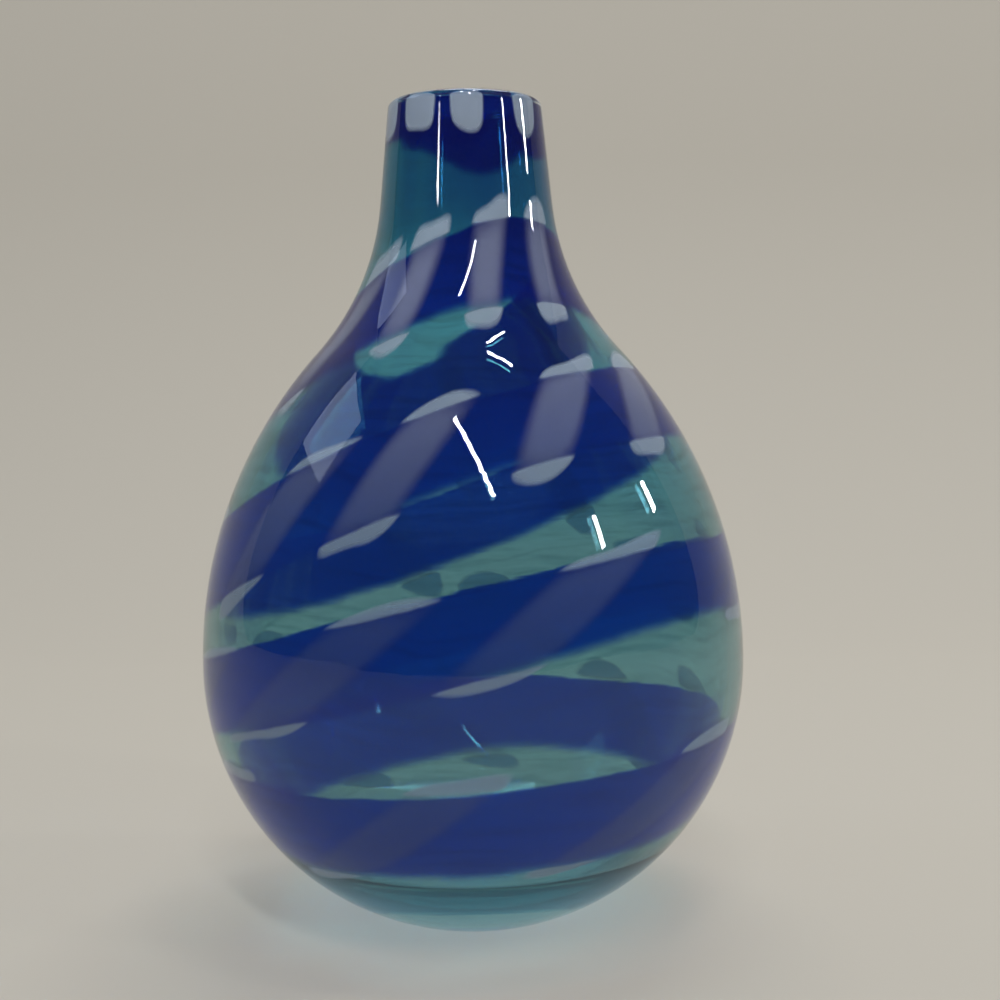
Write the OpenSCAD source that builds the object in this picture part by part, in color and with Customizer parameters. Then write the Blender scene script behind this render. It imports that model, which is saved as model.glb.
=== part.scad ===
// Hand blown art glass vase: a round teardrop body with a short neck.
// It is built in layers, from the inside out: an aqua bubble, five cobalt
// ribbons let into its outside, opal white bars that cross the ribbons, and a
// clear casing with a rounded lip and a small flat foot.
// Origin: centre of the foot, on the surface that the vase stands on. +Z is up.

/* [Body] */
// Height from the foot to the top of the lip
vase_h = 250; // [200:1:310]
// Largest outer diameter of the belly
belly_d = 168; // [135:1:205]
// Diameter of the flat foot that the vase stands on
foot_d = 59; // [44:1:76]
// Radius of the hollow curve between the belly and the neck
shoulder_r = 78; // [60:1:96]

/* [Neck] */
// Outer diameter of the neck where it meets the lip
neck_d = 47; // [38:1:58]
// Length of the straight part of the neck
neck_h = 31; // [22:1:40]
// How much the neck's side leans in towards the lip, in degrees
neck_taper = 5.7; // [3:0.1:8]

/* [Glass layers] */
// Thickness of the clear casing on the sides
casing_t = 2; // [1.6:0.1:2.6]
// Thickness of the aqua bubble on the sides
bubble_t = 2.6; // [2:0.1:3.4]
// Thickness of the clear glass under the bubble, at the centre of the foot
casing_floor = 3; // [2.5:0.1:4]
// Thickness of the bubble's own floor, at its centre
bubble_floor = 5; // [3:0.1:7]
// Radius of the shallow bowl shape of both floors
floor_bowl_r = 110; // [92:1:140]
// Diameter of the ground and polished hollow in the foot
pontil_d = 24; // [16:1:32]
// Depth of the ground and polished hollow in the foot
pontil_depth = 1.2; // [0.6:0.1:1.6]

/* [Cobalt ribbons] */
// Thickness of each ribbon, let into the outside of the bubble
ribbon_t = 0.9; // [0.6:0.1:1.2]
// Width of the shoulder ribbon, as a share of the height from belly to neck
shoulder_ribbon = 0.2; // [0.16:0.005:0.205]
// Width of the upper belly ribbon, as a share of the height from belly to neck
upper_ribbon = 0.18; // [0.13:0.005:0.185]
// Width of the belly ribbon, as a share of the height from belly to neck
belly_ribbon = 0.17; // [0.13:0.005:0.175]
// Width of the base ribbon, as a share of the height from belly to neck
base_ribbon = 0.2; // [0.15:0.005:0.205]
// Mean width of the rim ribbon below the top of the lip
rim_ribbon_w = 17; // [13:1:20]

/* [Opal bars] */
// Thickness of each bar, let into the inside of the casing
bar_t = 0.8; // [0.5:0.1:1]
// How far a bar runs on past each edge of its ribbon, as a share of that height
bar_overshoot = 0.055; // [0.03:0.005:0.06]
// Width of the bars on the rim
rim_bar_w = 11; // [8:0.5:13]
// Length of the bars on the rim, below the end of the coloured glass
rim_bar_h = 12; // [9:0.5:16]
// Width of the bars on the shoulder ribbon
shoulder_bar_w = 12; // [8:0.5:13]
// Width of the bars on the upper belly ribbon
upper_bar_w = 17; // [12:0.5:18]
// Width of the bars on the belly and base ribbons
belly_bar_w = 18; // [14:0.5:19]

/* [Hidden] */
// How far the coloured glass stays under the top of the lip
lip_cover = 1.4;
// Thickness of the whole wall on the sides
wall = casing_t + bubble_t;
// Spare length by which a cutting shape runs past what it cuts
spare = 5;
// Half the depth of the prism that cuts one bar from its layer
bar_reach = 12;
// Curves that meet smoothly cut into each other by this much, so they cross
bite = 0.02;

// The outline is three arcs and a line, each tangent to the next: the belly
// below its widest level, the upper belly, the hollow shoulder and the neck.
function to_hundredths(size) = round(size * 100) / 100;
belly_r = belly_d / 2;
belly_z = to_hundredths(sqrt(belly_r ^ 2 - (foot_d / 2) ^ 2));
neck_out = [cos(neck_taper), sin(neck_taper)];
neck_root = [neck_d / 2 + neck_h * tan(neck_taper), vase_h - neck_h];
shoulder_c = neck_root + shoulder_r * neck_out;
// The upper belly's radius is the one that touches the belly and the shoulder.
rise = shoulder_c - [belly_r, belly_z];
upper_r = to_hundredths((rise * rise - shoulder_r ^ 2) / (2 * (shoulder_r - rise.x)));
upper_c = [belly_r - upper_r, belly_z];
upper_out = (shoulder_c - upper_c) / norm(shoulder_c - upper_c);
upper_end_z = (upper_c + upper_r * upper_out).y;

// Outer radius of the vase at height z
function radius_at(z) =
    z < belly_z ? sqrt(max(0, belly_r ^ 2 - (z - belly_z) ^ 2)) :
    z < upper_end_z ? upper_c.x + sqrt(upper_r ^ 2 - (z - belly_z) ^ 2) :
    z < neck_root.y ? shoulder_c.x - sqrt(shoulder_r ^ 2 - (z - shoulder_c.y) ^ 2) :
    neck_d / 2 + (vase_h - z) * tan(neck_taper);

// Angle above the horizontal of the surface's outward direction at height z
function slope_at(z) =
    z < upper_end_z ? asin((z - belly_z) / (z < belly_z ? belly_r : upper_r)) :
    z < neck_root.y ? asin((shoulder_c.y - z) / shoulder_r) :
    neck_taper;

// The pattern stretches with the vase: its heights are shares of this height,
// from the belly's widest level up to the neck's root.
body_h = neck_root.y - belly_z;

// Each ribbon lies in a tilted plane: its height at the axis, its rise for
// each millimetre of +X, and its rise for each millimetre of +Y. They are
// worked out from its level, and from how much of body_h it rises from the
// axis out to the belly's radius, towards the right and towards the back.
function tilted(level, rightwards, backwards) =
    [belly_z + level * body_h, rightwards * body_h / belly_r, backwards * body_h / belly_r];
shoulder_plane = tilted(0.735, 0.2, -0.27);
upper_plane = tilted(0.385, 0.215, -0.135);
belly_plane = tilted(0.06, 0.14, -0.07);
base_plane = tilted(-0.26, 0.04, 0);
rim_plane = [vase_h - rim_ribbon_w, -0.15, 0];

// The angle of each bar from the front, towards +X, on each of the ribbons
rim_bars = [-72, -35, 3, 52, 98, 142, -172, -122];
shoulder_bars = [-62, -27, 12, 47, 95, 139, -175, -125];
upper_bars = [-47, -16, 25, 58, 98, 154, -160, -86];
belly_bars = [-77, -31, 17, 82, 124, 170, -127];
base_bars = [-75, -18, 42, 96, 133, -167, -121];
// How far the bars on each ribbon lean over, in degrees
shoulder_lean = 9;
upper_lean = 28;
belly_lean = 50;
base_lean = 50;

function indexed(name, list) = [for (i = [1 : len(list)]) str(name, "_", i)];
$fn = 180;

// Half of the vase's section, drawn in by inset all round, from the axis out.
// top is the height at which its neck is cut off.
module section(inset, top) {
    root = neck_root - inset * neck_out;
    top_edge = [root.x - (top - root.y) * tan(neck_taper), top];
    back_x = min(0, upper_c.x) - spare;
    intersection() {
        translate([0, belly_z])
            circle(belly_r - inset);
        translate([0, -spare])
            square([belly_r, belly_z + spare]);
    }
    intersection() {
        difference() {
            union() {
                translate(upper_c)
                    circle(upper_r - inset);
                polygon([upper_c, shoulder_c, root, top_edge, [back_x, top], [back_x, belly_z]]);
            }
            translate(shoulder_c)
                circle(shoulder_r + inset + bite);
        }
        translate([0, belly_z])
            square(vase_h * 2);
    }
}

// The same section with a shallow bowl shaped bottom at the height floor_z
module bowl_section(inset, top, floor_z) {
    intersection() {
        section(inset, top);
        translate([0, floor_z + floor_bowl_r]) {
            circle(floor_bowl_r);
            square(vase_h * 2);
        }
        square([belly_r, vase_h * 2]);
    }
}

// The space inside the vase
module cavity_section() {
    bowl_section(wall, vase_h + spare, casing_floor + bubble_floor);
}

// Everything that the rounded lip leaves standing: a full round on the neck
module lip_limit() {
    translate([(neck_d - wall / neck_out.x + wall * tan(neck_taper)) / 2, vase_h - wall / 2]) {
        circle(wall / 2);
        rotate(neck_taper)
            translate([-vase_h, -vase_h * 2])
                square([vase_h * 2, vase_h * 2]);
    }
}

// A thin layer of the wall, from depth outer to depth inner
module layer(outer, inner) {
    rotate_extrude()
        difference() {
            section(outer, vase_h - lip_cover);
            section(inner, vase_h);
            translate([0, -spare])
                square([belly_r, casing_floor + bubble_floor + spare]);
        }
}

// The space between two planes that are width apart, tilted as plane says
module slab(plane, width) {
    fall = norm([plane.y, plane.z]);
    translate([0, 0, plane.x])
        rotate([0, 0, atan2(plane.z, plane.y)])
            rotate([0, -atan(fall), 0])
                cube([belly_d * 3, belly_d * 3, width], center = true);
}

// A ribbon in the outside of the bubble
module ribbon(plane, share) {
    color("mediumblue")
        intersection() {
            layer(casing_t, casing_t + ribbon_t);
            slab(plane, share * body_h);
        }
}

// Height at which the plane meets the wall at the given angle
function meet(plane, angle, z, n = 12) =
    n == 0 ? z :
    meet(plane, angle, (z + plane.x
        + radius_at(z) * (plane.y * sin(angle) - plane.z * cos(angle))) / 2, n - 1);

// A bar with round ends, lying in the inside of the casing at the given
// angle and height, leaning over by lean
module bar(angle, z, lean, length, width) {
    color("lavender")
        intersection() {
            layer(casing_t - bar_t, casing_t);
            translate([radius_at(z) * sin(angle), -radius_at(z) * cos(angle), z])
                rotate([0, 0, angle - 90])
                    rotate([0, 90 - slope_at(z), 0])
                        rotate([0, 0, -lean])
                            stadium(length, width);
        }
}

// A flat bar with round ends, centred, its length along X
module stadium(length, width) {
    straight = length - width;
    translate([0, 0, -bar_reach])
        linear_extrude(2 * bar_reach) {
            square([straight, width], center = true);
            for (side = [-1, 1])
                translate([side * straight / 2, 0])
                    circle(width / 2);
        }
}

// Directions along the wall at the given angle and height: one up the wall,
// and one level round it
function up_wall(angle, z) =
    [-sin(slope_at(z)) * sin(angle), sin(slope_at(z)) * cos(angle), cos(slope_at(z))];
function round_wall(angle) = [cos(angle), sin(angle), 0];

// Length of a leaning bar that crosses the ribbon and runs past both its edges
function bar_length(plane, share, lean, angle, z) =
    let (
        across = [-plane.y, -plane.z, 1] / norm([plane.y, plane.z, 1]),
        along = cos(lean) * up_wall(angle, z) + sin(lean) * round_wall(angle)
    )
    (share / (across * along) + 2 * bar_overshoot) * body_h;

// A bar that crosses a ribbon at the given angle
module crossing_bar(plane, share, bar_w, lean, angle) {
    z = meet(plane, angle, plane.x);
    bar(angle, z, lean, bar_length(plane, share, lean, angle, z), bar_w);
}

// A bar on the rim is the lower half of a strip that would run on over the lip.
module opal_rim(angle) {
    bar(angle, vase_h - lip_cover, 0, 2 * rim_bar_h, rim_bar_w);
}

module opal_shoulder(angle) {
    crossing_bar(shoulder_plane, shoulder_ribbon, shoulder_bar_w, shoulder_lean, angle);
}

module opal_upper(angle) {
    crossing_bar(upper_plane, upper_ribbon, upper_bar_w, upper_lean, angle);
}

module opal_belly(angle) {
    crossing_bar(belly_plane, belly_ribbon, belly_bar_w, belly_lean, angle);
}

module opal_base(angle) {
    crossing_bar(base_plane, base_ribbon, belly_bar_w, base_lean, angle);
}

// The rim ribbon runs from its plane up to the end of the coloured glass.
module cobalt_rim() {
    depth = belly_d;
    color("mediumblue")
        intersection() {
            layer(casing_t, casing_t + ribbon_t);
            translate([0, 0, depth / 2 / cos(atan(norm([rim_plane.y, rim_plane.z])))])
                slab(rim_plane, depth);
        }
}

module cobalt_shoulder() {
    ribbon(shoulder_plane, shoulder_ribbon);
}

module cobalt_upper() {
    ribbon(upper_plane, upper_ribbon);
}

module cobalt_belly() {
    ribbon(belly_plane, belly_ribbon);
}

module cobalt_base() {
    ribbon(base_plane, base_ribbon);
}

// The inner gather: the hollow bubble, with a groove for each ribbon
module aqua_bubble() {
    color("lightseagreen")
        difference() {
            rotate_extrude()
                intersection() {
                    difference() {
                        bowl_section(casing_t, vase_h + spare, casing_floor);
                        cavity_section();
                    }
                    lip_limit();
                }
            cobalt_rim();
            cobalt_shoulder();
            cobalt_upper();
            cobalt_belly();
            cobalt_base();
        }
}

// The outer gather, with the lip, the foot and a pocket for each bar
module clear_casing() {
    pontil_r = ((pontil_d / 2) ^ 2 + pontil_depth ^ 2) / (2 * pontil_depth);
    color("lightcyan")
        difference() {
            rotate_extrude()
                intersection() {
                    difference() {
                        section(0, vase_h + spare);
                        bowl_section(casing_t, vase_h + spare * 2, casing_floor);
                        translate([0, pontil_depth - pontil_r])
                            circle(pontil_r);
                    }
                    lip_limit();
                    square([belly_r, vase_h * 2]);
                }
            for (angle = rim_bars) opal_rim(angle);
            for (angle = shoulder_bars) opal_shoulder(angle);
            for (angle = upper_bars) opal_upper(angle);
            for (angle = belly_bars) opal_belly(angle);
            for (angle = base_bars) opal_base(angle);
        }
}

clear_casing();
aqua_bubble();
cobalt_rim();
cobalt_shoulder();
cobalt_upper();
cobalt_belly();
cobalt_base();
for (i = [1 : len(rim_bars)])
    opal_rim(rim_bars[i - 1]);
for (i = [1 : len(shoulder_bars)])
    opal_shoulder(shoulder_bars[i - 1]);
for (i = [1 : len(upper_bars)])
    opal_upper(upper_bars[i - 1]);
for (i = [1 : len(belly_bars)])
    opal_belly(belly_bars[i - 1]);
for (i = [1 : len(base_bars)])
    opal_base(base_bars[i - 1]);
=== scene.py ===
# %% [markdown]
# # A hand blown art glass vase
# The real vase is one wall of fused glass, gathered in layers: an aqua bubble, cobalt
# ribbons and opal bars laid on it, and a clear casing over everything. This lesson builds
# each layer as its own closed piece, at its true depth inside the wall, and then gives
# each piece a glass of its own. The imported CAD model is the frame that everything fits.

# %% Load the frame and keep its box
import math

import bpy
import numpy as np
from mathutils import Matrix, Vector


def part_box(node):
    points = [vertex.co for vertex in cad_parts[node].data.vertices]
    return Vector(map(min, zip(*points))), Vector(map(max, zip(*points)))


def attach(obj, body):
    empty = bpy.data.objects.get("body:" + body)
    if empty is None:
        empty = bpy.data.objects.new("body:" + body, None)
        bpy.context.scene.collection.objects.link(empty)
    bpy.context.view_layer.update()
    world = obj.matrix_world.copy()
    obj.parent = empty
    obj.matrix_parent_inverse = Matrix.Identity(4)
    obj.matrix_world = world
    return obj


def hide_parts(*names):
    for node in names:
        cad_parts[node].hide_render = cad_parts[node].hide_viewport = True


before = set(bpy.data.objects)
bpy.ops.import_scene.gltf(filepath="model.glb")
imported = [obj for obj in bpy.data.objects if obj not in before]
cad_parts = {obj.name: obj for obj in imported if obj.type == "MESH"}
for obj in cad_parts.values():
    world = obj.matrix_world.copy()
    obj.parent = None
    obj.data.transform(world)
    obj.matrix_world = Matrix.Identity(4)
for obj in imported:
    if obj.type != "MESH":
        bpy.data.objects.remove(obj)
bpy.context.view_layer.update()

# %% [markdown]
# ## The outline
# The vase is a surface of revolution. Its outline is three arcs and a line, each tangent
# to the next: the round belly, the upper belly, the hollow shoulder and the neck, and the
# lip is a full round on top. A spline through points would wander, so the outline is
# worked out from the same few sizes as the CAD model, and its overall sizes are read from
# the frame.

# %% Sizes of the vase, in metres
MM = 0.001
casing_low, casing_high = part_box("clear_casing")
VASE_H = casing_high[2] - casing_low[2]
BELLY_R = (casing_high[0] - casing_low[0]) / 2
FOOT_R = 29.5 * MM
SHOULDER_R = 78 * MM
NECK_R = 23.5 * MM
NECK_H = 31 * MM
TAPER = math.radians(5.7)
CASING_T = 2.0 * MM
BUBBLE_T = 2.6 * MM
WALL = CASING_T + BUBBLE_T
CASING_FLOOR = 3 * MM
BUBBLE_FLOOR = 5 * MM
BOWL_R = 110 * MM
PONTIL_R = 12 * MM
PONTIL_DEPTH = 1.2 * MM
RIBBON_T = 0.9 * MM
BAR_T = 0.8 * MM
print(f"vase {VASE_H / MM:.1f} mm high, {2 * BELLY_R / MM:.1f} mm across")

# %% The outline as a table of points and outward directions
LIP_POINTS = 400


def arc(centre, radius, start, stop, count, outward=1):
    """Points on an arc: centre + radius (cos a, sin a), for a from start to stop.
    Returns radius from the axis, height, and the outward direction's two parts."""
    a = np.linspace(start, stop, count)
    direction = np.stack([np.cos(a), np.sin(a)], axis=1) * outward
    points = np.array(centre) + radius * np.stack([np.cos(a), np.sin(a)], axis=1)
    return np.concatenate([points, direction], axis=1)


def make_outline():
    """The belly, the upper belly, the shoulder, the neck and the lip, end to end.
    The upper belly's radius R solves |shoulder centre - its centre| = R + shoulder radius."""
    belly_z = math.sqrt(BELLY_R ** 2 - FOOT_R ** 2)
    out = np.array([math.cos(TAPER), math.sin(TAPER)])
    root = np.array([NECK_R + NECK_H * math.tan(TAPER), VASE_H - NECK_H])
    shoulder_c = root + SHOULDER_R * out
    rise = shoulder_c - np.array([BELLY_R, belly_z])
    upper_r = (rise @ rise - SHOULDER_R ** 2) / (2 * (SHOULDER_R - rise[0]))
    upper_c = np.array([BELLY_R - upper_r, belly_z])
    turn = math.atan2(*(shoulder_c - upper_c)[::-1])
    lip_x = NECK_R - WALL / 2 / out[0] + WALL / 2 * math.tan(TAPER)
    lip_c = np.array([lip_x, VASE_H - WALL / 2])
    lip_edge = lip_c + WALL / 2 * out
    neck = np.linspace(root, lip_edge, 400)
    pieces = [
        arc((0, belly_z), BELLY_R, -math.pi / 2, 0, 1500),
        arc(upper_c, upper_r, 0, turn, 900),
        arc(shoulder_c, SHOULDER_R, turn + math.pi, TAPER + math.pi, 900, outward=-1),
        np.concatenate([neck, np.tile(out, (400, 1))], axis=1),
        arc(lip_c, WALL / 2, TAPER, TAPER + math.pi, LIP_POINTS),
    ]
    table = np.concatenate([piece[1:] if i else piece for i, piece in enumerate(pieces)])
    steps = np.linalg.norm(np.diff(table[:, :2], axis=0), axis=1)
    length = np.concatenate([[0], np.cumsum(steps)])
    return table, length, length[-LIP_POINTS], length[-1]


OUTLINE, LENGTH, LIP_START, LIP_END = make_outline()
print(f"outline {LIP_START / MM:.0f} mm long from the foot to the lip")

# %% [markdown]
# ## Places inside the wall
# Every piece of this vase follows the same wall, only at another depth. One function turns
# a place along the outline and a depth into a radius and a height, and another carries
# these round the axis. A blown wall is never perfectly round, so the second one also draws
# the radius in by a few tenths of a millimetre in long slow waves, the same for each layer.

# %% Depth, floors and turning round the axis
def wall_point(s, depth):
    """Radius and height at length s along the outline, depth below the outer face:
    the point minus depth times the outward direction."""
    r, z, out_r, out_z = (np.interp(s, LENGTH, OUTLINE[:, i]) for i in range(4))
    return r - depth * out_r, z - depth * out_z


def bowl(r, floor_z):
    """Height of a shallow spherical bowl whose lowest point is at floor_z."""
    return floor_z + BOWL_R - np.sqrt(BOWL_R ** 2 - np.minimum(r, BOWL_R) ** 2)


def foot_face(r):
    """Height of the foot: flat, with a shallow spherical hollow in the middle."""
    hollow_r = (PONTIL_R ** 2 + PONTIL_DEPTH ** 2) / (2 * PONTIL_DEPTH)
    inside = np.sqrt(np.maximum(hollow_r ** 2 - r ** 2, 0))
    return np.maximum(0, PONTIL_DEPTH - hollow_r + inside)


def turned(r, z, angle):
    """The point at angle from the front, towards +X: (r sin, -r cos, z). The radius is
    drawn in by up to 0.3 mm by two slow waves, more on the belly than on the neck."""
    size = r / BELLY_R
    wave = 2 + np.sin(2 * angle + 21 * z) + np.sin(3 * angle - 34 * z + 1.3)
    drawn = r - 0.08 * MM * size * wave
    return np.stack([drawn * np.sin(angle), -drawn * np.cos(angle), z + 0 * angle], axis=-1)


# %% Turn a grid of points into a closed, smooth mesh
def grid_faces(rows, columns, wrap):
    """Quads between neighbouring rows and columns. Columns always close on themselves,
    and rows do when wrap is true."""
    i = np.arange(rows if wrap else rows - 1)[:, None]
    j = np.arange(columns)[None, :]
    up, side = (i + 1) % rows, (j + 1) % columns
    corners = (i * columns + j, i * columns + side, up * columns + side, up * columns + j)
    return np.stack(corners, axis=-1).reshape(-1, 4)


def closed_mesh(name, points, poles=None, values=None, slots=None):
    """A mesh from points[row, column]. With poles, two single points close the first and
    the last row with fans of triangles. Without them, the rows close on themselves.
    values are numbers to keep on the points, and slots gives each row of faces its slot."""
    rows, columns = points.shape[:2]
    quads = grid_faces(rows, columns, poles is None)
    vertices = points.reshape(-1, 3)
    loops, starts = quads.reshape(-1), np.arange(len(quads)) * 4
    counts = np.full(len(quads), 4)
    if poles is not None:
        j = np.arange(columns)
        side, last = (j + 1) % columns, (rows - 1) * columns
        first_pole = np.full(columns, rows * columns)
        bottom = np.stack([first_pole, side, j], axis=-1)
        top = np.stack([last + j, last + side, first_pole + 1], axis=-1)
        fans = np.concatenate([bottom, top])
        loops = np.concatenate([loops, fans.reshape(-1)])
        starts = np.concatenate([starts, starts[-1] + 4 + np.arange(len(fans)) * 3])
        counts = np.concatenate([counts, np.full(len(fans), 3)])
        vertices = np.concatenate([vertices, poles])
    mesh = bpy.data.meshes.new(name)
    mesh.vertices.add(len(vertices))
    mesh.vertices.foreach_set("co", vertices.astype(np.float32).reshape(-1))
    mesh.loops.add(len(loops))
    mesh.loops.foreach_set("vertex_index", loops.astype(np.int32))
    mesh.polygons.add(len(counts))
    mesh.polygons.foreach_set("loop_start", starts.astype(np.int32))
    mesh.polygons.foreach_set("use_smooth", np.ones(len(counts), bool))
    if slots is not None:
        row_slots = np.repeat(np.asarray(slots), columns)
        ends = np.repeat([slots[0], slots[-1]], columns) if poles is not None else []
        every = np.concatenate([row_slots, ends]).astype(np.int32)
        mesh.polygons.foreach_set("material_index", every)
    mesh.update(calc_edges=True)
    for key, value in (values or {}).items():
        spare = len(vertices) - value.size
        flat = np.concatenate([value.reshape(-1), np.full(spare, value.reshape(-1)[0])])
        layer = mesh.attributes.new(key, "FLOAT", "POINT")
        layer.data.foreach_set("value", flat.astype(np.float32))
    mesh.validate()
    piece = bpy.data.objects.new(name, mesh)
    bpy.context.scene.collection.objects.link(piece)
    return piece


# %% [markdown]
# ## Shared effects
# Glass that was blown by hand has three things a perfect sheet lacks: colour that feathers
# out at its edges, fine cords that were drawn out as the glass was turned, and a surface
# that is not quite even. Each is a node group, made once and placed in every glass with
# its own values. The groups give out only masks and values, never shaders.

# %% Helpers for node groups
def new_group(name, inputs, outputs):
    """An empty shader node group with named float or vector sockets."""
    group = bpy.data.node_groups.new(name, "ShaderNodeTree")
    kinds = {"f": "NodeSocketFloat", "v": "NodeSocketVector", "c": "NodeSocketColor"}
    for label, kind in inputs:
        group.interface.new_socket(label, in_out="INPUT", socket_type=kinds[kind])
    for label, kind in outputs:
        group.interface.new_socket(label, in_out="OUTPUT", socket_type=kinds[kind])
    return group, group.nodes.new("NodeGroupInput"), group.nodes.new("NodeGroupOutput")


def add_node(tree, kind, **settings):
    """A node of this kind, with its settings; a name with a number sets that input."""
    node = tree.nodes.new(kind)
    for key, value in settings.items():
        if key.startswith("in_"):
            node.inputs[int(key[3:])].default_value = value
        else:
            setattr(node, key, value)
    return node


def maths(tree, operation, a, b=None):
    """A Math node on sockets or plain numbers."""
    node = add_node(tree, "ShaderNodeMath", operation=operation)
    for i, value in enumerate((a, b)):
        if value is None:
            continue
        if isinstance(value, (int, float)):
            node.inputs[i].default_value = value
        else:
            tree.links.new(value, node.inputs[i])
    return node.outputs[0]


def place_group(tree, group, **values):
    """The group as a node in a material, with plain values or sockets for its inputs."""
    node = tree.nodes.new("ShaderNodeGroup")
    node.node_tree = group
    for key, value in values.items():
        socket = node.inputs[key.replace("_", " ")]
        if isinstance(value, (int, float, tuple)):
            socket.default_value = value
        else:
            tree.links.new(value, socket)
    return node


# %% The feathered edge
def make_feather():
    """Mask = smooth step of (distance from one edge / its softness) times the same for
    the other edge, with noise added to both distances so that the edge is ragged."""
    group, given, result = new_group(
        "feathered_edge",
        [("Upper", "f"), ("Lower", "f"), ("Upper Soft", "f"), ("Lower Soft", "f"),
         ("Ragged", "f"), ("Position", "v")],
        [("Mask", "f")])
    noise = add_node(group, "ShaderNodeTexNoise", in_2=55.0, in_3=3.0, in_4=0.6)
    group.links.new(given.outputs["Position"], noise.inputs["Vector"])
    shift = maths(group, "MULTIPLY",
                  maths(group, "SUBTRACT", noise.outputs[0], 0.5), given.outputs["Ragged"])
    sides = []
    for edge in ("Upper", "Lower"):
        step = add_node(group, "ShaderNodeMapRange", interpolation_type="SMOOTHSTEP")
        group.links.new(maths(group, "ADD", given.outputs[edge], shift), step.inputs[0])
        group.links.new(given.outputs[edge + " Soft"], step.inputs[2])
        sides.append(step.outputs[0])
    group.links.new(maths(group, "MULTIPLY", *sides), result.inputs["Mask"])
    return group


# %% The cords
def make_cords():
    """Fine = noise stretched along one direction by Stretch, raised to a contrast, so it
    reads as threads. Broad = the same noise ten times wider, for slow streaks."""
    group, given, result = new_group(
        "drawn_cords",
        [("Position", "v"), ("Stretch", "v"), ("Bend", "f")],
        [("Fine", "f"), ("Broad", "f")])
    warp = add_node(group, "ShaderNodeTexNoise", in_2=18.0, in_3=2.0)
    group.links.new(given.outputs["Position"], warp.inputs["Vector"])
    bend = add_node(group, "ShaderNodeVectorMath", operation="SCALE")
    group.links.new(warp.outputs["Color"], bend.inputs[0])
    group.links.new(given.outputs["Bend"], bend.inputs["Scale"])
    moved = add_node(group, "ShaderNodeVectorMath", operation="ADD")
    group.links.new(given.outputs["Position"], moved.inputs[0])
    group.links.new(bend.outputs[0], moved.inputs[1])
    drawn = add_node(group, "ShaderNodeVectorMath", operation="MULTIPLY")
    group.links.new(moved.outputs[0], drawn.inputs[0])
    group.links.new(given.outputs["Stretch"], drawn.inputs[1])
    for label, scale, low, high in (("Fine", 10.0, 0.48, 0.68), ("Broad", 1.0, 0.35, 0.7)):
        noise = add_node(group, "ShaderNodeTexNoise", in_2=scale, in_3=4.0, in_4=0.55)
        group.links.new(drawn.outputs[0], noise.inputs["Vector"])
        step = add_node(group, "ShaderNodeMapRange", in_1=low, in_2=high)
        group.links.new(noise.outputs[0], step.inputs[0])
        group.links.new(step.outputs[0], result.inputs[label])
    return group


# %% The uneven surface
def make_unevenness():
    """Height = long soft waves left by the blowing, plus faint fine draw lines."""
    group, given, result = new_group(
        "blown_surface",
        [("Position", "v"), ("Waves", "f"), ("Lines", "f")],
        [("Height", "f")])
    waves = add_node(group, "ShaderNodeTexNoise", in_2=26.0, in_3=2.0, in_4=0.5)
    squash = add_node(group, "ShaderNodeVectorMath", operation="MULTIPLY")
    squash.inputs[1].default_value = (1.0, 1.0, 14.0)
    lines = add_node(group, "ShaderNodeTexNoise", in_2=30.0, in_3=3.0, in_4=0.5)
    group.links.new(given.outputs["Position"], waves.inputs["Vector"])
    group.links.new(given.outputs["Position"], squash.inputs[0])
    group.links.new(squash.outputs[0], lines.inputs["Vector"])
    total = maths(group, "ADD",
                  maths(group, "MULTIPLY", waves.outputs[0], given.outputs["Waves"]),
                  maths(group, "MULTIPLY", lines.outputs[0], given.outputs["Lines"]))
    group.links.new(total, result.inputs["Height"])
    return group


FEATHER, CORDS, UNEVEN = make_feather(), make_cords(), make_unevenness()
print("node groups:", [group.name for group in bpy.data.node_groups])

# %% [markdown]
# ## The glasses
# The two faces that air touches bend light, so they are Principled glass. The faces where
# layers meet inside the wall have glass on both sides, and bend nothing, so they are fully
# clear: two refracting shells would show an air gap that a fused wall doesn't have. Rays
# from lamps pass straight through the glass, tinted, so that light reaches the coloured
# pieces sealed inside it.

# %% Helpers for materials
def new_material(name):
    """An empty material with its tree and output."""
    material = bpy.data.materials.new(name)
    material.use_nodes = True
    tree = material.node_tree
    tree.nodes.clear()
    return material, tree, tree.nodes.new("ShaderNodeOutputMaterial")


def colour_mix(tree, factor, a, b, blend="MIX"):
    """A colour Mix node on colours or sockets."""
    node = add_node(tree, "ShaderNodeMix", data_type="RGBA", blend_type=blend)
    for socket, value in ((node.inputs[0], factor), (node.inputs[6], a), (node.inputs[7], b)):
        if isinstance(value, tuple):
            socket.default_value = (*value, 1.0)
        elif isinstance(value, (int, float)):
            socket.default_value = value
        else:
            tree.links.new(value, socket)
    return node.outputs[2]


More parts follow.
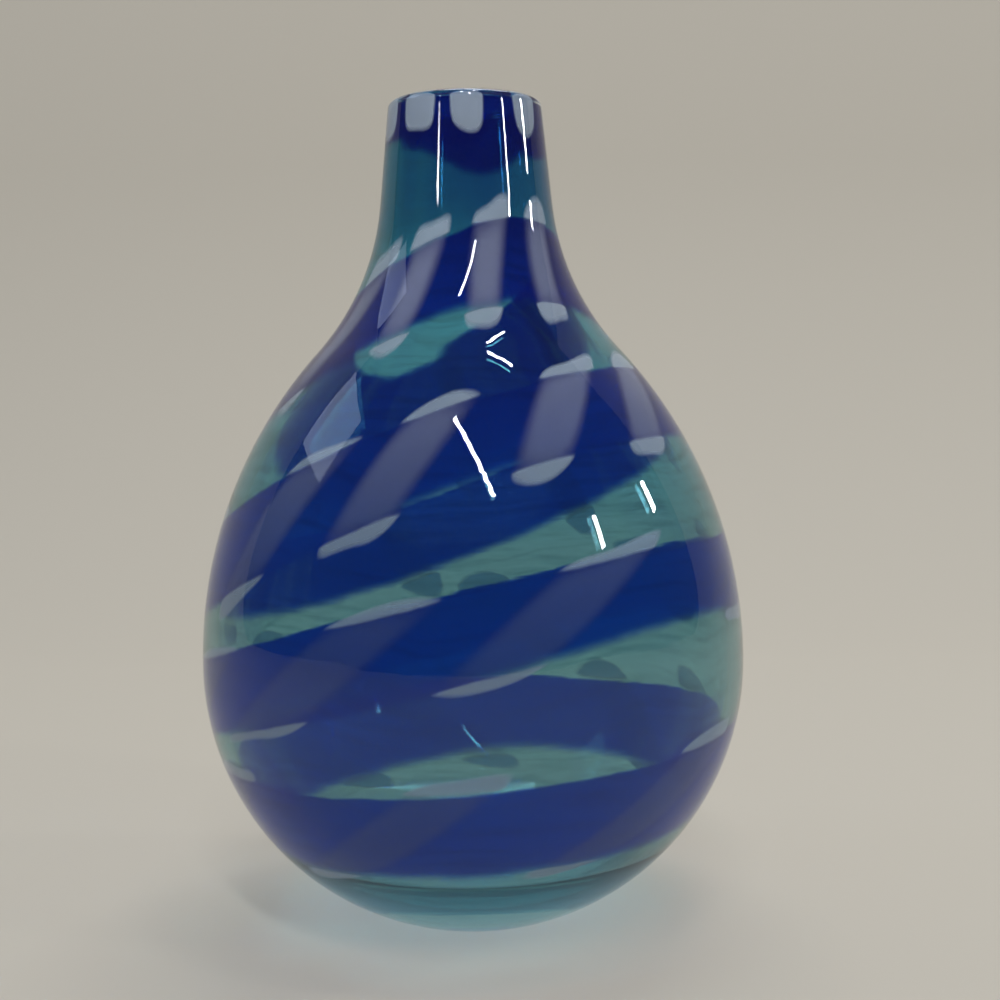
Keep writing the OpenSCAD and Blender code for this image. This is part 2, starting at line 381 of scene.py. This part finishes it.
def glass_surface(tree, output, tint, shadow_tint, ior=1.46, roughness=0.0):
    """Principled glass, and for rays from lamps a plain tinted pass through."""
    glass = tree.nodes.new("ShaderNodeBsdfPrincipled")
    glass.inputs["Transmission Weight"].default_value = 1.0
    glass.inputs["IOR"].default_value = ior
    glass.inputs["Roughness"].default_value = roughness
    glass.inputs["Specular IOR Level"].default_value = 0.34
    if isinstance(tint, tuple):
        glass.inputs["Base Color"].default_value = (*tint, 1.0)
    else:
        tree.links.new(tint, glass.inputs["Base Color"])
    passing = tree.nodes.new("ShaderNodeBsdfTransparent")
    passing.inputs["Color"].default_value = (*shadow_tint, 1.0)
    path = tree.nodes.new("ShaderNodeLightPath")
    choice = tree.nodes.new("ShaderNodeMixShader")
    tree.links.new(path.outputs["Is Shadow Ray"], choice.inputs[0])
    tree.links.new(glass.outputs[0], choice.inputs[1])
    tree.links.new(passing.outputs[0], choice.inputs[2])
    tree.links.new(choice.outputs[0], output.inputs["Surface"])
    return glass


def add_bump(tree, shader, height, strength, distance):
    """Feed a height to the shader's normal."""
    bump = add_node(tree, "ShaderNodeBump", in_0=strength, in_1=distance)
    tree.links.new(height, bump.inputs["Height"])
    tree.links.new(bump.outputs[0], shader.inputs["Normal"])


def rise(tree, place, low, high):
    """A smooth step of height: 0 at low times the vase's height and below, 1 at high
    times it and above."""
    parts = tree.nodes.new("ShaderNodeSeparateXYZ")
    tree.links.new(place, parts.inputs[0])
    step = add_node(tree, "ShaderNodeMapRange", interpolation_type="SMOOTHSTEP")
    step.inputs[1].default_value = low * VASE_H
    step.inputs[2].default_value = high * VASE_H
    tree.links.new(parts.outputs["Z"], step.inputs[0])
    return step.outputs[0]


def by_height(tree, place, low, high, below, above):
    """A colour that turns from one into the other up the vase."""
    return colour_mix(tree, rise(tree, place, low, high), below, above)


# %% Clear glass of the casing
def make_clear_glass():
    """Almost colourless, with the soft waves of a blown surface."""
    material, tree, output = new_material("clear_glass")
    place = tree.nodes.new("ShaderNodeTexCoord").outputs["Object"]
    glass = glass_surface(tree, output, (0.80, 0.86, 0.89), (0.92, 0.95, 0.97))
    uneven = place_group(tree, UNEVEN, Position=place, Waves=1.0, Lines=0.12)
    add_bump(tree, glass, uneven.outputs["Height"], 0.35, 0.0004)
    return material


# %% Aqua glass of the bubble
def make_hollow_face():
    """The face round the hollow: glass against air, with only a little colour."""
    material, tree, output = new_material("aqua_glass")
    glass_surface(tree, output, (0.80, 0.92, 0.95), (0.85, 0.94, 0.96))
    return material


def make_aqua_skin():
    """The aqua itself, on the face fused to the casing, so that light which turns back
    inside the wall is coloured too. Grey green on the belly, where the bubble was blown
    thin, and deep teal up the neck, with cords drawn round it and streaks run down it.
    A faint glow in the thick base stands for light that gathers there."""
    material, tree, output = new_material("aqua_skin")
    place = tree.nodes.new("ShaderNodeTexCoord").outputs["Object"]
    tint = by_height(tree, place, 0.40, 0.68, (0.48, 0.68, 0.70), (0.36, 0.74, 0.86))
    tint = colour_mix(tree, rise(tree, place, 0.72, 0.88), tint, (0.15, 0.52, 0.66))
    cords = place_group(tree, CORDS, Position=place, Stretch=(3.0, 3.0, 46.0), Bend=0.02)
    fine = maths(tree, "MULTIPLY", cords.outputs["Fine"], 0.5)
    tint = colour_mix(tree, fine, tint, (0.22, 0.43, 0.49))
    broad = maths(tree, "MULTIPLY", cords.outputs["Broad"], 0.4)
    tint = colour_mix(tree, broad, tint, (0.48, 0.74, 0.78))
    drawn = place_group(tree, CORDS, Position=place, Stretch=(34.0, 34.0, 1.5), Bend=0.01)
    streaks = maths(tree, "MULTIPLY", drawn.outputs["Broad"], rise(tree, place, 0.78, 0.90))
    tint = colour_mix(tree, maths(tree, "MULTIPLY", streaks, 0.75), tint, (0.06, 0.26, 0.60))
    passing = tree.nodes.new("ShaderNodeBsdfTransparent")
    tree.links.new(tint, passing.inputs["Color"])
    gathered = add_node(tree, "ShaderNodeEmission")
    gathered.inputs["Color"].default_value = (0.10, 0.55, 0.75, 1.0)
    tree.links.new(maths(tree, "MULTIPLY", rise(tree, place, 0.10, 0.02), 0.09),
                   gathered.inputs["Strength"])
    both = tree.nodes.new("ShaderNodeAddShader")
    tree.links.new(passing.outputs[0], both.inputs[0])
    tree.links.new(gathered.outputs[0], both.inputs[1])
    tree.links.new(both.outputs[0], output.inputs["Surface"])
    return material


# %% Cobalt glass of the ribbons
def make_cobalt_glass():
    """Deep transparent blue: what is behind it shows through, tinted. The tint feathers
    out towards the ribbon's edges, and cords run along it. A share of it is a plain blue
    body with a faint glow, which stands for light scattered inside the glass."""
    material, tree, output = new_material("cobalt_glass")
    place = tree.nodes.new("ShaderNodeTexCoord").outputs["Object"]
    upper = add_node(tree, "ShaderNodeAttribute", attribute_name="from_upper")
    lower = add_node(tree, "ShaderNodeAttribute", attribute_name="from_lower")
    mask = place_group(tree, FEATHER, Upper=upper.outputs["Fac"], Lower=lower.outputs["Fac"],
                       Upper_Soft=1.6 * MM, Lower_Soft=5.0 * MM, Ragged=2.5 * MM,
                       Position=place).outputs["Mask"]
    cords = place_group(tree, CORDS, Position=place, Stretch=(4.0, 4.0, 40.0), Bend=0.05)
    deep = colour_mix(tree, cords.outputs["Broad"], (0.04, 0.20, 0.74), (0.08, 0.32, 0.90))
    tint = colour_mix(tree, mask, (1.0, 1.0, 1.0), deep)
    passing = tree.nodes.new("ShaderNodeBsdfTransparent")
    tree.links.new(tint, passing.inputs["Color"])
    body = tree.nodes.new("ShaderNodeBsdfPrincipled")
    blue = by_height(tree, place, 0.45, 0.75, (0.001, 0.05, 0.20), (0.001, 0.012, 0.12))
    tree.links.new(blue, body.inputs["Base Color"])
    glow = by_height(tree, place, 0.45, 0.75, (0.001, 0.045, 0.19), (0.0, 0.012, 0.09))
    tree.links.new(glow, body.inputs["Emission Color"])
    body.inputs["Emission Strength"].default_value = 1.0
    body.inputs["Roughness"].default_value = 0.5
    body.inputs["Specular IOR Level"].default_value = 0.0
    share = maths(tree, "MULTIPLY", mask, 0.35)
    both = tree.nodes.new("ShaderNodeMixShader")
    tree.links.new(share, both.inputs[0])
    tree.links.new(passing.outputs[0], both.inputs[1])
    tree.links.new(body.outputs[0], both.inputs[2])
    tree.links.new(both.outputs[0], output.inputs["Surface"])
    return material


# %% Mix two values
def mix_value(tree, factor, a, b):
    """a + factor (b - a), on sockets or plain numbers."""
    return maths(tree, "ADD", a, maths(tree, "MULTIPLY", factor, maths(tree, "SUBTRACT", b, a)))


# %% Opal glass of the bars
def make_opal_glass():
    """Milky glass: it scatters light and glows a little when lit through, so it shows pale
    over the aqua. Where it lies on a ribbon the cobalt has bled into it, so it turns mauve,
    with softer edges. The bars were blown out with the vase, so the lower ones are thinner
    and let more through. The faces that look inward glow more, as they can't be lit."""
    material, tree, output = new_material("opal_glass")
    place = tree.nodes.new("ShaderNodeTexCoord").outputs["Object"]
    edge = add_node(tree, "ShaderNodeAttribute", attribute_name="from_edge").outputs["Fac"]
    inside = add_node(tree, "ShaderNodeAttribute", attribute_name="on_ribbon").outputs["Fac"]
    bled = place_group(tree, FEATHER, Upper=inside, Lower=1.0, Upper_Soft=1.4 * MM,
                       Lower_Soft=1.0 * MM, Ragged=1.5 * MM, Position=place).outputs["Mask"]
    soft = mix_value(tree, bled, 0.9 * MM, 4.0 * MM)
    mask = place_group(tree, FEATHER, Upper=edge, Lower=1.0, Upper_Soft=soft,
                       Lower_Soft=1.0 * MM, Ragged=0.6 * MM, Position=place).outputs["Mask"]
    high = rise(tree, place, 0.35, 0.76)
    pale = colour_mix(tree, high, (0.14, 0.21, 0.30), (0.29, 0.32, 0.37))
    mauve = colour_mix(tree, high, (0.05, 0.085, 0.25), (0.17, 0.17, 0.27))
    fringe = colour_mix(tree, mask, (0.055, 0.035, 0.14), mauve)
    milk = tree.nodes.new("ShaderNodeBsdfPrincipled")
    tree.links.new(colour_mix(tree, bled, pale, fringe), milk.inputs["Base Color"])
    milk.inputs["Emission Color"].default_value = (0.46, 0.56, 0.66, 1.0)
    inward = add_node(tree, "ShaderNodeAttribute", attribute_name="faces_in").outputs["Fac"]
    glow = mix_value(tree, bled, mix_value(tree, inward, 0.09, 0.36),
                     mix_value(tree, high, 0.05, 0.12))
    tree.links.new(glow, milk.inputs["Emission Strength"])
    milk.inputs["Roughness"].default_value = 0.6
    milk.inputs["Specular IOR Level"].default_value = 0.0
    thick = mix_value(tree, bled, mix_value(tree, high, 0.60, 0.56),
                      mix_value(tree, high, 0.20, 0.52))
    tree.links.new(maths(tree, "MULTIPLY", mask, thick), milk.inputs["Alpha"])
    tree.links.new(milk.outputs[0], output.inputs["Surface"])
    return material


# %% The clear inside faces, and all the glasses together
def make_inside_face(name):
    """A face with glass on both sides: fully clear."""
    material, tree, output = new_material(name)
    passing = tree.nodes.new("ShaderNodeBsdfTransparent")
    tree.links.new(passing.outputs[0], output.inputs["Surface"])
    return material


CLEAR, AQUA, SKIN = make_clear_glass(), make_hollow_face(), make_aqua_skin()
COBALT, OPAL = make_cobalt_glass(), make_opal_glass()
FUSED = make_inside_face("fused_face")
print("materials:", [material.name for material in bpy.data.materials])


def dress(piece, slot, node, *materials):
    """Give a piece its materials, and tie it to the frame."""
    for material in materials:
        piece.data.materials.append(material)
    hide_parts(node)
    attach(piece, "root")
    return piece


# %% [markdown]
# ## The clear casing
# The casing is the last gather: the outside of the vase, down to where the aqua begins,
# with the outer half of the round lip, the flat foot and the polished hollow under it. It
# is a closed outline carried round the axis, so its wall has its true thickness all over.

# %% Build the casing
AROUND = 240
GAP = 0.02 * MM


def lip_split(depth):
    """Length along the outline at which the lip is cut by the layer at this depth."""
    angle = math.acos(1 - 2 * depth / WALL)
    return LIP_START + angle * WALL / 2


def layer_line(s, depth, floor_z):
    """The outline at a depth, with a bowl shaped bottom at floor_z."""
    r, z = wall_point(s, depth)
    return r, np.maximum(z, bowl(r, floor_z))


def revolve(name, r, z, slots):
    """A closed outline from the axis back to the axis, carried round the axis."""
    angle = np.arange(AROUND)[None, :] * 2 * math.pi / AROUND
    points = turned(r[1:-1, None], z[1:-1, None], angle)
    poles = np.array([[0, 0, z[0]], [0, 0, z[-1]]])
    return closed_mesh(name, points, poles, slots=slots[1:-1])


def build_casing():
    """Outer face from the foot over the lip, then back down the inside face."""
    s = np.linspace(0, LIP_START, 150)
    lip = np.linspace(LIP_START, lip_split(CASING_T), 9)[1:]
    outer_r, outer_z = wall_point(np.concatenate([s, lip]), 0)
    outer_z = np.maximum(outer_z, foot_face(outer_r))
    inner_r, inner_z = layer_line(s[::-1], CASING_T - GAP, CASING_FLOOR)
    r, z = np.concatenate([outer_r, inner_r]), np.concatenate([outer_z, inner_z])
    slots = np.where(np.arange(len(r) - 1) < len(outer_r), 0, 1)
    return revolve("casing", r, z, slots)


casing = dress(build_casing(), "clear_glass", "clear_casing", CLEAR, FUSED)
print("casing:", len(casing.data.polygons), "faces")

# %% [markdown]
# ## The aqua bubble
# The bubble is the first gather, with the hollow inside it. Its floor is thick, as on any
# vase that has to stand, and it carries the inner half of the lip.

# %% Build the bubble
def build_bubble():
    """Outer face from the floor up to the lip, over the lip, and down the hollow."""
    s = np.linspace(0, LIP_START, 150)
    lip = np.linspace(lip_split(CASING_T + GAP), LIP_END, 10)
    outer_r, outer_z = layer_line(s, CASING_T + GAP, CASING_FLOOR)
    lip_r, lip_z = wall_point(lip, 0)
    inner_r, inner_z = layer_line(s[::-1], WALL, CASING_FLOOR + BUBBLE_FLOOR)
    r = np.concatenate([outer_r, lip_r, inner_r[1:]])
    z = np.concatenate([outer_z, lip_z, inner_z[1:]])
    slots = np.where(np.arange(len(r) - 1) < len(outer_r), 1, 0)
    return revolve("bubble", r, z, slots)


bubble = dress(build_bubble(), "aqua_glass", "aqua_bubble", AQUA, SKIN)
print("bubble:", len(bubble.data.polygons), "faces")

# %% [markdown]
# ## The cobalt ribbons
# Each ribbon was trailed round the bubble and blown out with it, so it lies in a tilted
# plane, with edges that wander a little. Its surface is worked out on a grid: the angle
# round the vase, and the distance across the ribbon. For each pair, the place along the
# outline is where the wall crosses that distance from the plane, found by halving.

# %% Where a tilted plane meets the wall
BELLY_Z = math.sqrt(BELLY_R ** 2 - FOOT_R ** 2)
ROOT_Z = VASE_H - NECK_H
BODY_H = ROOT_Z - BELLY_Z


def tilted(level, rightwards, backwards):
    """A plane: its height at the axis, its rise along X and its rise along Y, from shares
    of the height between the belly's widest level and the neck."""
    return BELLY_Z + level * BODY_H, rightwards * BODY_H / BELLY_R, backwards * BODY_H / BELLY_R


PLANES = {
    "shoulder": tilted(0.735, 0.20, -0.27),
    "upper": tilted(0.385, 0.215, -0.135),
    "belly": tilted(0.06, 0.14, -0.07),
    "base": tilted(-0.26, 0.04, 0.0),
    "rim": (VASE_H - 17 * MM, -0.15, 0.0),
}
WIDTHS = {"shoulder": 0.20 * BODY_H, "upper": 0.18 * BODY_H, "belly": 0.17 * BODY_H,
          "base": 0.20 * BODY_H}


def crossing(plane, angle, across, depth):
    """Length along the outline where the wall is `across` away from the plane, square to
    it. Halves the interval 34 times, for all the angles at once."""
    level, rise_x, rise_y = PLANES[plane]
    tilt = math.sqrt(1 + rise_x ** 2 + rise_y ** 2)
    low = np.zeros(np.broadcast(angle, across).shape)
    high = np.full(low.shape, LIP_START)
    for _ in range(34):
        middle = (low + high) / 2
        r, z = wall_point(middle, depth)
        away = (z - level - rise_x * r * np.sin(angle) + rise_y * r * np.cos(angle)) / tilt
        low, high = np.where(away < across, middle, low), np.where(away < across, high, middle)
    return (low + high) / 2


# %% Build the ribbons
RIBBON_AROUND = 288
RIBBON_ACROSS = 25
SEAT = 0.06 * MM
WANDER = 2.0 * MM
RIM_RIBBON_WRAP = 0.6
NOTCH_AT, NOTCH_WIDTH, NOTCH_RISE = math.radians(27), math.radians(12), 8 * MM


def wander(angle, seed, reach):
    """An edge's slow wandering: a sum of four sines round the vase, up to reach."""
    draw = np.random.default_rng(seed)
    turns = np.arange(1, 5)
    phase, size = draw.uniform(0, 2 * math.pi, 4), draw.uniform(0.4, 1.0, 4) / turns ** 0.5
    waves = np.sin(angle[..., None] * turns + phase) * size
    return reach * waves.sum(axis=-1) / size.sum()


def build_ribbon(name, seed):
    """A closed band inside the wall. Across goes from -1 to 1, the thickness is RIBBON_T
    times the square root of (1 - across^4), and both faces meet in sharp edges. The rim's
    band wraps onto the lip, and its lower edge wanders twice as far, with one notch."""
    angle = np.arange(RIBBON_AROUND)[None, :] * 2 * math.pi / RIBBON_AROUND
    across = np.sin(np.linspace(-math.pi / 2, math.pi / 2, RIBBON_ACROSS))[:, None]
    upper_edge, lower_edge = wander(angle, seed, WANDER), wander(angle, seed + 50, WANDER)
    depth = CASING_T + SEAT
    if name == "rim":
        notch = np.exp(-((angle - NOTCH_AT) / NOTCH_WIDTH) ** 2)
        low = crossing(name, angle, 2 * lower_edge + NOTCH_RISE * notch, depth)
        high = np.full(angle.shape, LIP_START + RIM_RIBBON_WRAP * (LIP_END - LIP_START))
        width = high - low
        s = low + (across + 1) / 2 * width
        from_upper = np.full(s.shape, 1.0)
    else:
        half = WIDTHS[name] / 2
        top, bottom = half + upper_edge, -half + lower_edge
        away = bottom + (across + 1) / 2 * (top - bottom)
        s = crossing(name, angle, away, depth)
        width = top - bottom
        from_upper = (1 - across) / 2 * width
    from_lower = (1 + across) / 2 * width
    thick = RIBBON_T * np.sqrt(np.maximum(1 - across ** 4, 0))
    outer = turned(*wall_point(s, depth), angle)
    inner = turned(*wall_point(s, depth + thick), angle)
    loop = np.concatenate([outer, inner[-2:0:-1]])
    values = {"from_upper": from_upper, "from_lower": from_lower}
    values = {key: np.concatenate([v, v[-2:0:-1]]) for key, v in values.items()}
    return closed_mesh("ribbon_" + name, loop, values=values)


for seed, name in enumerate(("rim", "shoulder", "upper", "belly", "base"), start=3):
    ribbon = dress(build_ribbon(name, seed), "cobalt_glass", "cobalt_" + name, COBALT)
    print(ribbon.name, len(ribbon.data.polygons), "faces")

# %% [markdown]
# ## The opal bars
# The bars are short canes of white glass laid across each ribbon and melted flat. Each
# is a rounded strip, thickest in the middle, that leans over and runs on a little past
# both edges of its ribbon, with ends skewed along those edges. It could be a cut patch of
# the wall, but a polar grid closes cleanly: rings from the middle of the strip out to its
# outline, laid on the wall by distance along and round it.

# %% Build the bars
# Each set: the angles of its bars from the front, their width and their lean
BARS = {
    "rim": ((-72, -35, 3, 52, 98, 142, -172, -122), 11 * MM, 0),
    "shoulder": ((-62, -27, 12, 47, 95, 139, -175, -125), 12 * MM, 9),
    "upper": ((-47, -16, 25, 58, 98, 154, -160, -86), 17 * MM, 28),
    "belly": ((-77, -31, 17, 82, 124, 170, -127), 18 * MM, 50),
    "base": ((-75, -18, 42, 96, 133, -167, -121), 18 * MM, 50),
}
RIM_BAR_H = 12 * MM
OVERSHOOT = 0.055 * BODY_H
BAR_ROUND = 72
BAR_RINGS = 15
RIM_BAR_UP = 0.9 * MM
RIM_BAR_WRAP = 0.72
OFF_RIBBON = -5 * MM


def stadium(length, width, turn):
    """The outline of a strip with round ends, as x along it and y across it. Each point
    at angle turn is on the end circle nearest to it, pushed out to the straight sides."""
    straight = (length - width) / 2
    x = np.cos(turn) * width / 2 + straight * np.tanh(3 * np.cos(turn))
    y = np.sin(turn) * width / 2
    return x, y


def bar_length(name, angle, s, lean):
    """The ribbon's width / how much of it one millimetre along the bar crosses, plus the
    overshoot at both ends. The plane's upward direction is (-a, -b, 1) / its length."""
    rise_x, rise_y = PLANES[name][1:]
    out_r, out_z = np.interp(s, LENGTH, OUTLINE[:, 2]), np.interp(s, LENGTH, OUTLINE[:, 3])
    up_wall = np.array([-out_z * math.sin(angle), out_z * math.cos(angle), out_r])
    round_wall = np.array([math.cos(angle), math.sin(angle), 0])
    along = math.cos(lean) * up_wall + math.sin(lean) * round_wall
    across = np.array([-rise_x, -rise_y, 1]) / math.sqrt(1 + rise_x ** 2 + rise_y ** 2)
    return WIDTHS[name] / (across @ along) + 2 * OVERSHOOT


def ribbon_slope(name, angle):
    """The ribbon's own rise round the wall, as an angle: its plane's rise in the
    direction (cos, sin) that runs level round the vase."""
    rise_x, rise_y = PLANES[name][1:]
    return math.atan(rise_x * math.cos(angle) + rise_y * math.sin(angle))


def from_ribbon_edge(name, s, angle, depth):
    """How far inside its ribbon each point is: half the width - distance from the plane.
    The rim's bars stay white all over, so they count as lying off their ribbon."""
    if name == "rim":
        return np.full(s.shape, OFF_RIBBON)
    level, rise_x, rise_y = PLANES[name]
    r, z = wall_point(s, depth)
    away = z - level - rise_x * r * np.sin(angle) + rise_y * r * np.cos(angle)
    return WIDTHS[name] / 2 - np.abs(away) / math.sqrt(1 + rise_x ** 2 + rise_y ** 2)


def build_bar(name, number, angle_degrees, width, lean_degrees):
    """A lens shaped strip: thickness is BAR_T times (1 - ring^3). Its ends are skewed, so
    that they run along the ribbon's edges, as glass that was stretched with it does."""
    angle, lean = math.radians(angle_degrees), math.radians(lean_degrees)
    centre = np.array([[angle]])
    depth = CASING_T - BAR_T - SEAT
    if name == "rim":
        s_centre = np.array([[LIP_START + RIM_BAR_UP]])
        length = 2 * RIM_BAR_H
    else:
        s_centre = crossing(name, centre, np.zeros((1, 1)), depth)
        length = bar_length(name, angle, float(s_centre[0, 0]), lean)
    turn = np.arange(BAR_ROUND)[None, :] * 2 * math.pi / BAR_ROUND
    x, y = stadium(length, width, turn)
    draw = np.random.default_rng(100 * number + len(name))
    swell = 1 + 0.05 * np.sin(2 * turn + draw.uniform(0, 6)) + 0.04 * np.sin(
        3 * turn + draw.uniform(0, 6))
    ring = np.sin(np.linspace(0, math.pi / 2, BAR_RINGS + 1))[1:, None]
    slope = 0 if name == "rim" else ribbon_slope(name, angle)
    skew = y / math.cos(lean + slope)
    up = ring * swell * (x * math.cos(lean) - skew * math.sin(slope))
    side = ring * swell * (x * math.sin(lean) - skew * math.cos(slope))
    s = np.minimum(s_centre + up, LIP_START + RIM_BAR_WRAP * (LIP_END - LIP_START))
    radius = wall_point(s, depth)[0]
    angle = centre + side / radius
    edge = (1 - ring) * width / 2 * np.ones_like(turn)
    thick = BAR_T * (1 - ring ** 3)
    outer = turned(*wall_point(s, depth + (BAR_T - thick)), angle)
    inner = turned(*wall_point(s, depth + BAR_T), angle)
    loop = np.concatenate([outer, inner[-2::-1]])
    values = {"from_edge": edge, "on_ribbon": from_ribbon_edge(name, s, angle, depth)}
    values = {key: np.concatenate([v, v[-2::-1]]) for key, v in values.items()}
    values["faces_in"] = np.zeros(loop.shape[:2])
    values["faces_in"][len(outer):] = 1
    ends = [turned(*wall_point(s_centre, depth + d), centre).reshape(3) for d in (0, BAR_T)]
    return closed_mesh(f"bar_{name}_{number}", loop, np.array(ends), values)


bar_count = 0
for name, (angles, width, lean) in BARS.items():
    for number, angle in enumerate(angles, start=1):
        bar = build_bar(name, number, angle, width, lean)
        dress(bar, "opal_glass", f"opal_{name}_{number}", OPAL)
        bar_count += 1
print("bars:", bar_count)

# %% [markdown]
# ## The room
# A plain pale floor that curves up behind the vase, a large soft light above and behind
# it, and narrow lamps whose reflections draw the long highlights on the neck and the
# belly. Lamps are placed by direction, as a highlight depends on the direction alone.

# %% Floor, lights and camera
def build_floor():
    """A sheet: flat in front, a quarter circle, then upright. Height and distance follow
    the angle of the quarter circle."""
    bend, turn = 0.35, np.linspace(0, math.pi / 2, 24)
    y = np.concatenate([[-1.6, -0.4], 0.42 + bend * np.sin(turn), [0.42 + bend]])
    z = np.concatenate([[0, 0], bend * (1 - np.cos(turn)), [2.4]])
    x = np.linspace(-2.2, 2.2, 2)
    points = np.stack(np.broadcast_arrays(x[None, :], y[:, None], z[:, None]), axis=-1)
    mesh = bpy.data.meshes.new("floor")
    i = np.arange(len(y) - 1)
    faces = np.stack([2 * i, 2 * i + 1, 2 * i + 3, 2 * i + 2], axis=-1)
    mesh.from_pydata(points.reshape(-1, 3).tolist(), [], faces.tolist())
    mesh.polygons.foreach_set("use_smooth", np.ones(len(faces), bool))
    floor = bpy.data.objects.new("floor", mesh)
    bpy.context.scene.collection.objects.link(floor)
    material, tree, output = new_material("pale_floor")
    paint = tree.nodes.new("ShaderNodeBsdfPrincipled")
    paint.inputs["Base Color"].default_value = (0.30, 0.285, 0.255, 1.0)
    paint.inputs["Roughness"].default_value = 0.9
    paint.inputs["Emission Color"].default_value = (0.46, 0.43, 0.37, 1.0)
    paint.inputs["Emission Strength"].default_value = 0.53
    tree.links.new(paint.outputs[0], output.inputs["Surface"])
    mesh.materials.append(material)


def towards(azimuth, elevation, distance):
    """The place at this azimuth from the front, elevation and distance from the vase."""
    a, e = math.radians(azimuth), math.radians(elevation)
    flat = distance * math.cos(e)
    return flat * math.sin(a), -flat * math.cos(a), 0.14 + distance * math.sin(e)


def add_light(name, place, target, width, height, power, colour=(1.0, 1.0, 1.0), turn=0,
              spread=180):
    """A soft rectangular light at place, facing target, turned in its own plane. Spread is
    the whole angle of its beam in degrees."""
    light = bpy.data.lights.new(name, "AREA")
    light.spread = math.radians(spread)
    light.shape, light.size, light.size_y = "RECTANGLE", width, height
    light.energy, light.color = power, colour
    lamp = bpy.data.objects.new(name, light)
    lamp.location = place
    lamp.rotation_euler = look_at(place, target, turn)
    bpy.context.scene.collection.objects.link(lamp)


def look_at(place, target, roll=0.0):
    """Turns that point -Z from place to target, with Y up, after a roll about -Z."""
    way = Vector(target) - Vector(place)
    turned_by = way.to_track_quat("-Z", "Y").to_matrix()
    return (turned_by @ Matrix.Rotation(math.radians(roll), 3, "Z")).to_euler()


build_floor()
MIDDLE = (0, 0, 0.14)
add_light("skylight", towards(168, 60, 1.6), MIDDLE, 1.0, 0.8, 21)
add_light("ceiling", towards(60, 76, 1.3), MIDDLE, 0.02, 0.22, 1.5, turn=20)
add_light("tube", towards(3, 51, 1.3), MIDDLE, 0.03, 0.62, 5, turn=33)
add_light("window_left", (-0.15, -0.215, 0.285), (-0.006, -0.024, 0.236), 0.011, 0.12, 0.006,
          spread=22)
add_light("window_right", towards(60, 24, 1.2), MIDDLE, 0.04, 0.17, 1.3)
add_light("door_right", towards(95, 23, 1.2), MIDDLE, 0.05, 0.13, 1.5)
add_light("window_far", towards(-95, 40, 1.3), MIDDLE, 0.5, 0.4, 1.2, (0.7, 0.82, 1.0))
world = bpy.data.worlds.new("soft_room")
world.use_nodes = True
world.node_tree.nodes["Background"].inputs[0].default_value = (0.80, 0.86, 0.92, 1.0)
world.node_tree.nodes["Background"].inputs[1].default_value = 0.12
bpy.context.scene.world = world
bpy.context.scene.view_settings.view_transform = "Standard"
bpy.context.scene.cycles.transparent_max_bounces = 64
bpy.context.scene.cycles.transmission_bounces = 16
bpy.context.scene.cycles.max_bounces = 24

camera = bpy.data.objects.new("camera", bpy.data.cameras.new("camera"))
camera.data.lens, camera.data.sensor_width = 54.2, 36
camera.location = (0.009, -0.470, 0.160)
camera.rotation_euler = look_at(camera.location, (0.009, 0.0, 0.1274), roll=-0.9)
bpy.context.scene.collection.objects.link(camera)
bpy.context.scene.camera = camera
print("lights:", [light.name for light in bpy.data.lights])

# %% [markdown]
# ## Finish

# %% Finish
print("done")
